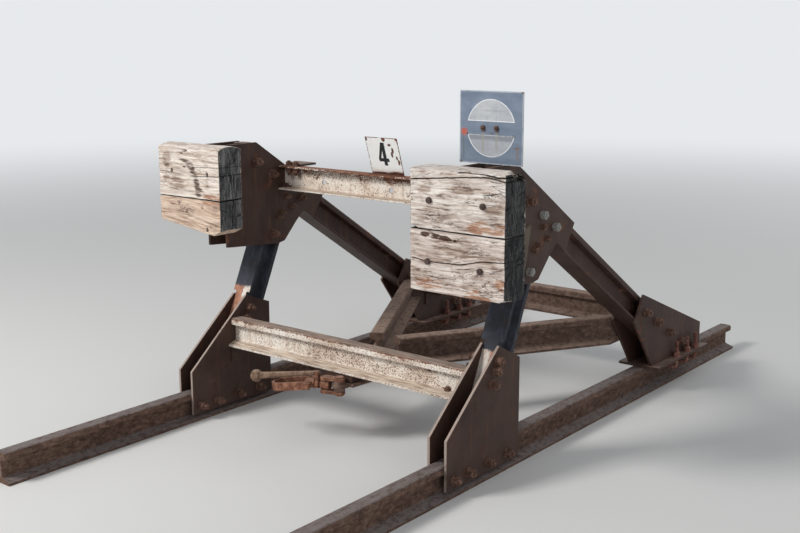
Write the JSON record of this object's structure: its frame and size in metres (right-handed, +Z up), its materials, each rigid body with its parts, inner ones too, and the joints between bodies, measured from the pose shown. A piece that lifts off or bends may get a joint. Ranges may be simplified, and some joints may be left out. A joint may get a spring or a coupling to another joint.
{
  "type": "railway buffer stop",
  "caption": "Buffer stop of old rail and plate on base rails, timber buffer blocks, crossbeams, braces, sign board, number plate and screw coupling.",
  "frame": {"origin": "middle of the base rails' length, midway between them, on the plane that their feet rest on", "axes": "+Z up, +Y away from the arriving train, from the buffing faces to the rear feet, +X to the right seen from the track"},
  "size_m": [2, 3.85, 1.605],
  "materials": {
    "base_rail": "rusted, heads weathered to a dull grey sheen",
    "post_steel": "old dark paint with a blue-grey sheen, rust at the cut ends",
    "frame_steel": "dark red-brown paint and rust, matt",
    "brace_steel": "rusty brown, weathered",
    "cream_paint": "pitted cream-white paint flaking to rust",
    "coupling_rust": "orange-brown rust",
    "timber": "weathered grey, cracked, stained brown",
    "sign_enamel": "grey-blue enamel with a pale disc, rust streaks",
    "white_enamel": "chipped white enamel, plain black digit"
  },
  "bodies": {
    "root": {"track_rail_left": "base_rail", "front_post_left": "post_steel", "rear_strut_left": "frame_steel", "top_gussets_left": "frame_steel", "front_foot_plates_left": "frame_steel", "rear_foot_plates_left": "frame_steel", "rear_sole_plate_left": "frame_steel", "block_cleats_left": "frame_steel", "upper_beam_bracket_left": "frame_steel", "diagonal_brace_left": "brace_steel", "upper_buffer_block_left": "timber", "lower_buffer_block_left": "timber", "track_rail_right": "base_rail", "front_post_right": "post_steel", "rear_strut_right": "frame_steel", "top_gussets_right": "frame_steel", "front_foot_plates_right": "frame_steel", "rear_foot_plates_right": "frame_steel", "rear_sole_plate_right": "frame_steel", "block_cleats_right": "frame_steel", "upper_beam_bracket_right": "frame_steel", "diagonal_brace_right": "brace_steel", "upper_buffer_block_right": "timber", "lower_buffer_block_right": "timber", "upper_crossbeam": "cream_paint", "lower_crossbeam": "cream_paint", "lower_beam_seats": "frame_steel", "rear_crossbeam": "brace_steel", "rear_beam_seats": "frame_steel", "brace_apex_plate": "brace_steel", "apex_packing": "frame_steel", "sign_board": "sign_enamel", "sign_upright": "frame_steel", "number_plate": "white_enamel", "coupling_pin": "coupling_rust", "gusset_stiffener_left": "frame_steel", "gusset_stiffener_right": "frame_steel"},
    "coupling_link": {"coupling_links": "coupling_rust"},
    "coupling_screw": {"coupling_inner_nut": "coupling_rust", "coupling_spindle": "coupling_rust", "coupling_outer_nut": "coupling_rust"},
    "coupling_bail": {"coupling_bail": "coupling_rust"},
    "coupling_lever": {"coupling_lever": "coupling_rust"}
  },
  "joints": [
    {"name": "coupling_swing", "type": "hinge", "parent": "root", "child": "coupling_link", "pos_m": [0.05, -0.713, 0.2785], "axis": [0, 0, 1], "range_deg": [0, 120]},
    {"name": "screw_swing", "type": "hinge", "parent": "coupling_link", "child": "coupling_screw", "pos_m": [-0.01295, -0.73285, 0.2785], "axis": [0, 0, 1], "range_deg": [0, 20]},
    {"name": "bail_fold", "type": "hinge", "parent": "coupling_screw", "child": "coupling_bail", "pos_m": [-0.08161, -0.7545, 0.2785], "axis": [0.3007, -0.9537, 0], "range_deg": [0, 75]},
    {"name": "lever_fold", "type": "hinge", "parent": "coupling_screw", "child": "coupling_lever", "pos_m": [-0.05109, -0.74487, 0.3285], "axis": [-0.3007, 0.9537, 0], "range_deg": [0, 90]}
  ]
}
